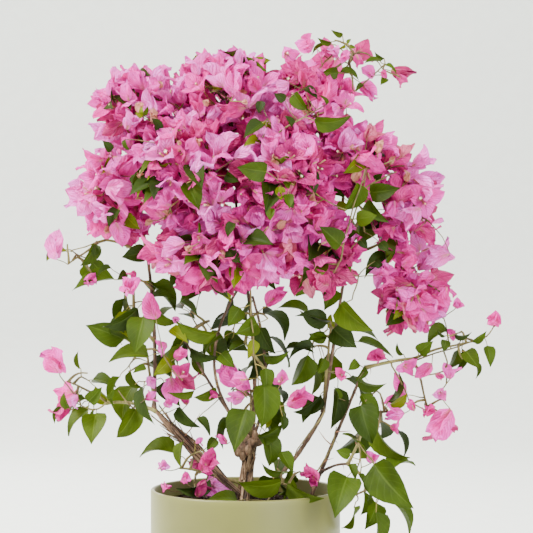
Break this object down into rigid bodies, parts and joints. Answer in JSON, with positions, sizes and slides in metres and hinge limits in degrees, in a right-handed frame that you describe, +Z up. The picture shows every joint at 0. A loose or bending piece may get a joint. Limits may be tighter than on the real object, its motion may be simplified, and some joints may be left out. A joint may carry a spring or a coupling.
{
  "type": "potted bougainvillea bush",
  "caption": "Bougainvillea bush in a straight round pot: gnarled trunk, fanned boughs, a broad dome of papery pink bracts, leafy shoots below.",
  "frame": {"origin": "middle of the pot's flat underside, on the surface it stands on", "axes": "+Z up along the pot's axis; -Y is the side seen in the picture; +X is to the right in the picture"},
  "size_m": [0.4593, 0.214, 0.6332],
  "materials": {
    "pot": "sage green matte glaze",
    "soil": "dark crumbly potting soil",
    "bark": "flaky grey-brown bark",
    "shoot": "smooth brown-green young wood",
    "bracts": "thin papery magenta-pink bracts",
    "leaves": "soft satin green leaves"
  },
  "bodies": {
    "root": {"pot": "pot", "soil": "soil", "trunk": "bark", "bough_left_cane": "bark", "bough_left_riser": "bark", "bough_left_shoot": "shoot", "bough_middle_left": "shoot", "bough_middle_right": "shoot", "bough_middle_riser": "bark", "bough_inner_left": "shoot", "bough_right_cane": "bark", "bough_right_riser": "bark", "bough_right_shoot": "bark", "bough_right_far": "shoot", "bough_low_right": "shoot", "bough_low_right_riser": "shoot", "bough_left_outer": "shoot", "bough_left_inner": "shoot", "bough_middle_inner": "shoot", "bough_crown_left": "shoot", "bough_crown_centre": "shoot", "bough_crown_right": "shoot", "bough_crown_outer": "shoot", "bough_crown_branch": "shoot", "bough_top_sprig": "shoot", "crown_left": "bracts", "crown_left_top": "bracts", "crown_left_front": "bracts", "crown_left_back": "bracts", "crown_top": "bracts", "crown_top_right": "bracts", "crown_middle_front": "bracts", "crown_middle_back": "bracts", "crown_right_shoulder": "bracts", "crown_right": "bracts", "crown_low_front": "bracts", "crown_low_back": "bracts", "crown_low_right": "bracts", "crown_right_hanging": "bracts", "sprig_top": "leaves", "sprig_left_outer": "leaves", "shoots_left_upper": "leaves", "shoots_left_lower": "leaves", "spray_left": "leaves", "shoots_inner_left": "leaves", "shoots_middle_upper": "leaves", "shoots_middle_lower": "leaves", "shoots_low_left": "leaves", "shoots_low_middle": "leaves", "shoots_right_upper": "leaves", "shoots_right_middle": "leaves", "spray_right": "leaves", "spray_right_hanging": "bracts", "shoots_right_inner": "leaves", "shoots_low_right": "leaves"}
  },
  "joints": []
}
